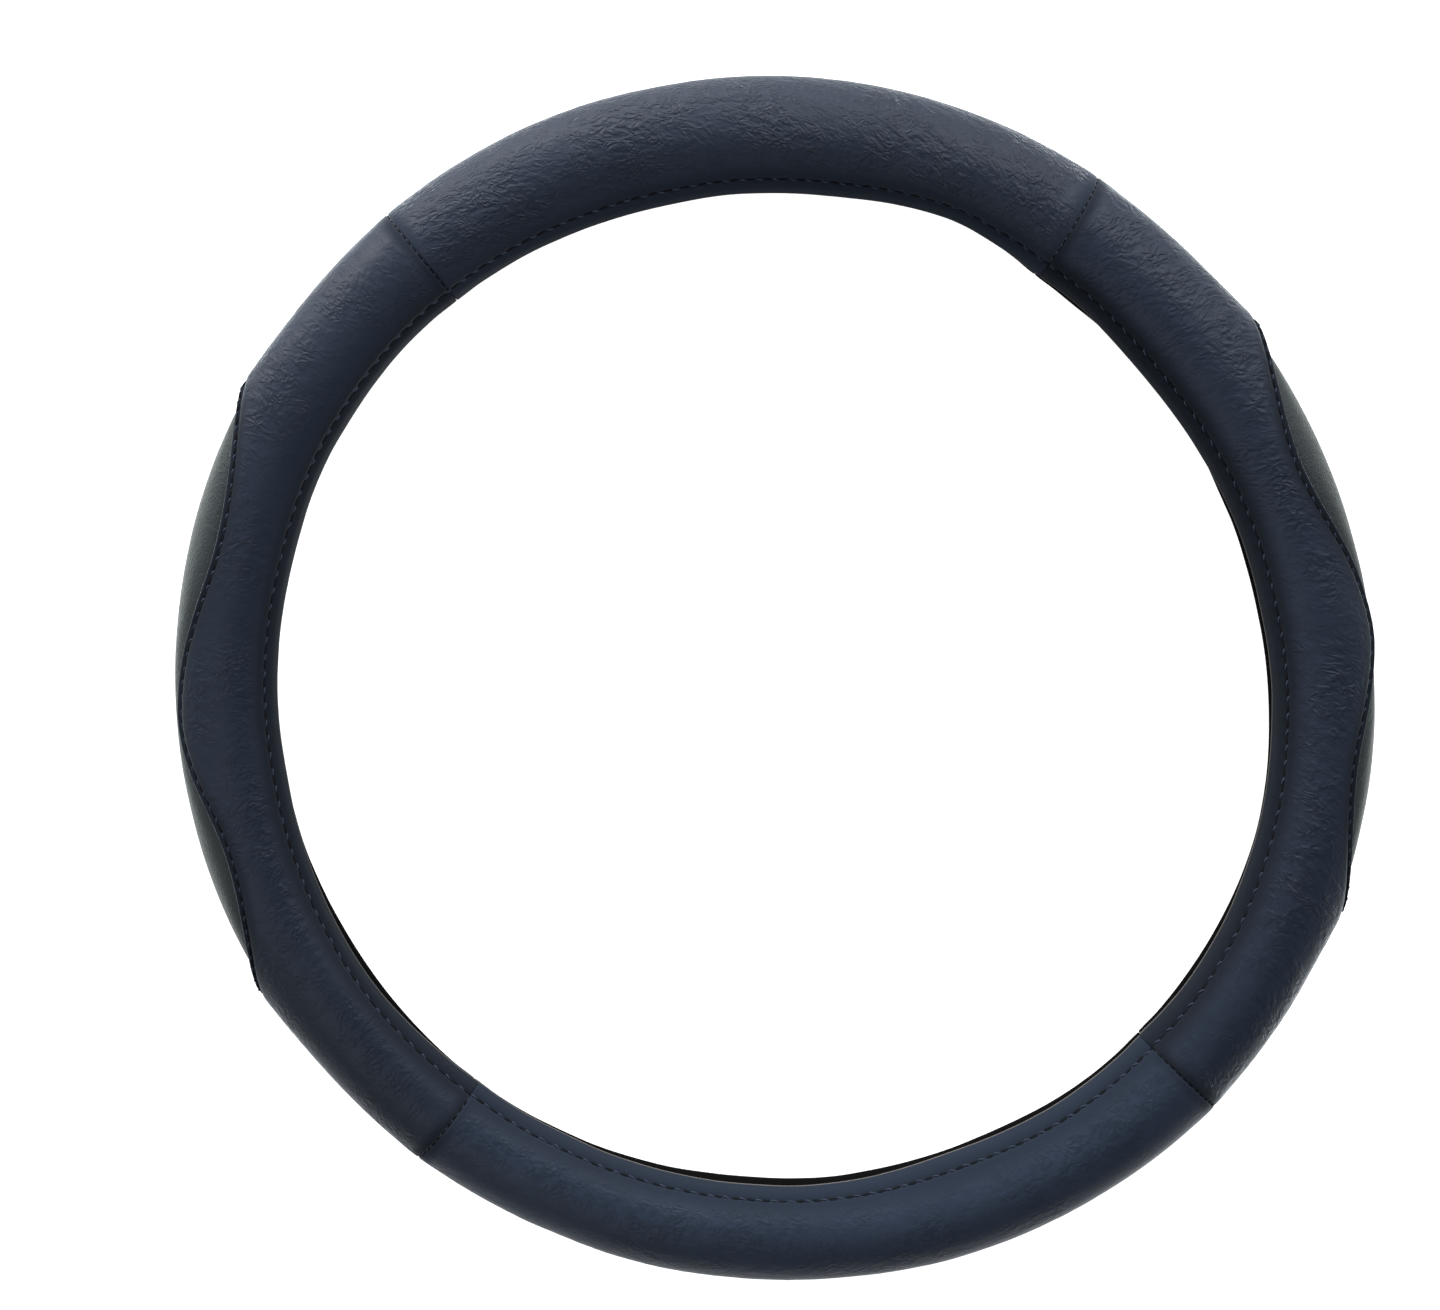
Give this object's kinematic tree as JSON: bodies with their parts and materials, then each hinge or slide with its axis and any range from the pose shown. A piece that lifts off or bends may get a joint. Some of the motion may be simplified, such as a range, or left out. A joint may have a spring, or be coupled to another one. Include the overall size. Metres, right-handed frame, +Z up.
{
  "type": "steering wheel cover",
  "caption": "Ring-shaped leather cover that clips round a steering wheel rim, with padded hourglass grips at the sides and stitched hems.",
  "frame": {"origin": "on the floor under the middle of the ring", "axes": "+Z up, along the axis of the wheel towards the driver's side of the cover; +Y to twelve o'clock, midway between the two upper seams; +X to three o'clock"},
  "size_m": [0.382, 0.3856, 0.0328],
  "materials": {
    "leather": "dark navy grained leather, soft satin sheen",
    "grip_leather": "dark grey smooth padded leather, glossier than the panels",
    "rubber": "matt black rubber",
    "thread": "dark navy sewing thread"
  },
  "bodies": {
    "root": {"rubber_ring": "rubber", "top_panel": "leather", "bottom_panel": "leather", "left_panel": "leather", "right_panel": "leather", "left_grip_insert": "grip_leather", "right_grip_insert": "grip_leather"}
  },
  "joints": []
}
